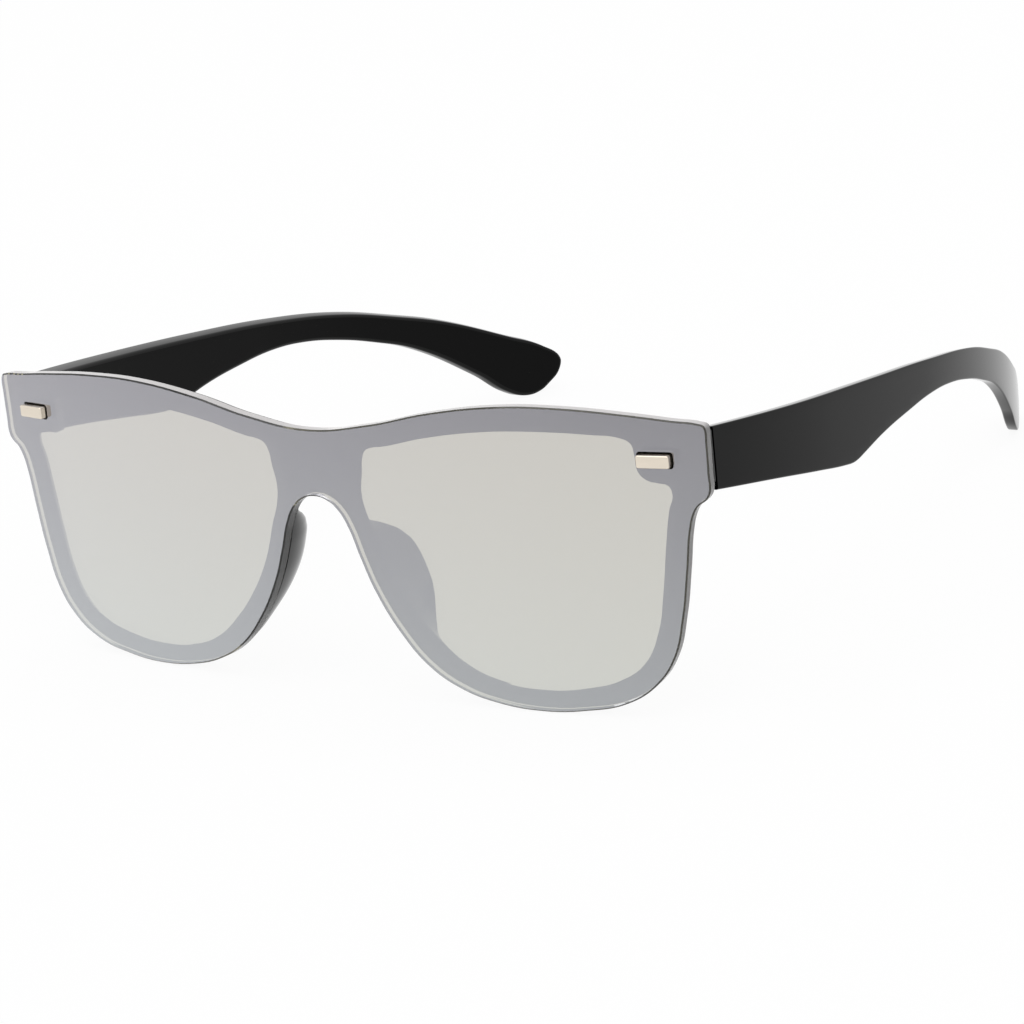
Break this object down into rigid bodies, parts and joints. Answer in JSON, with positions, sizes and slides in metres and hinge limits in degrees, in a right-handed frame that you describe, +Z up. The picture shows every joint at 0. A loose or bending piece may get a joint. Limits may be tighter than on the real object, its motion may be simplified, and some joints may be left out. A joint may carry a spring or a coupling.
{
  "type": "sunglasses",
  "caption": "Sunglasses with a one-piece mirrored lens plate over a dark full-rim moulded frame, riveted at the ends, on folding temples.",
  "frame": {"origin": "middle of the bounding box, on the surface that the glasses rest on with their temples open", "axes": "+X towards the wearer's left, +Y from the lens back along the temples, +Z up"},
  "size_m": [0.1476, 0.1444, 0.0503],
  "materials": {
    "mirror_lens": "polished silver mirror coating on clear plastic",
    "frame_plastic": "polished black",
    "temple_plastic": "satin black",
    "rivet_metal": "pale plated metal",
    "hinge_metal": "satin",
    "screw_metal": "bright"
  },
  "bodies": {
    "front": {"mirror_lens": "mirror_lens", "frame_front": "frame_plastic", "rivet_left": "rivet_metal", "rivet_right": "rivet_metal", "hinge_front_leaf_left": "hinge_metal", "hinge_front_leaf_right": "hinge_metal", "hinge_screw_left": "screw_metal", "hinge_screw_right": "screw_metal"},
    "left_temple": {"temple_left": "temple_plastic", "hinge_temple_leaf_left": "hinge_metal"},
    "right_temple": {"temple_right": "temple_plastic", "hinge_temple_leaf_right": "hinge_metal"}
  },
  "joints": [
    {"name": "temple_left_fold", "type": "hinge", "parent": "front", "child": "left_temple", "pos_m": [0.0662, -0.05752, 0.04163], "axis": [0, 0.0854, 0.9963], "range_deg": [0, 84]},
    {"name": "temple_right_fold", "type": "hinge", "parent": "front", "child": "right_temple", "pos_m": [-0.0662, -0.05752, 0.04163], "axis": [0, -0.0854, -0.9963], "range_deg": [0, 77]}
  ]
}
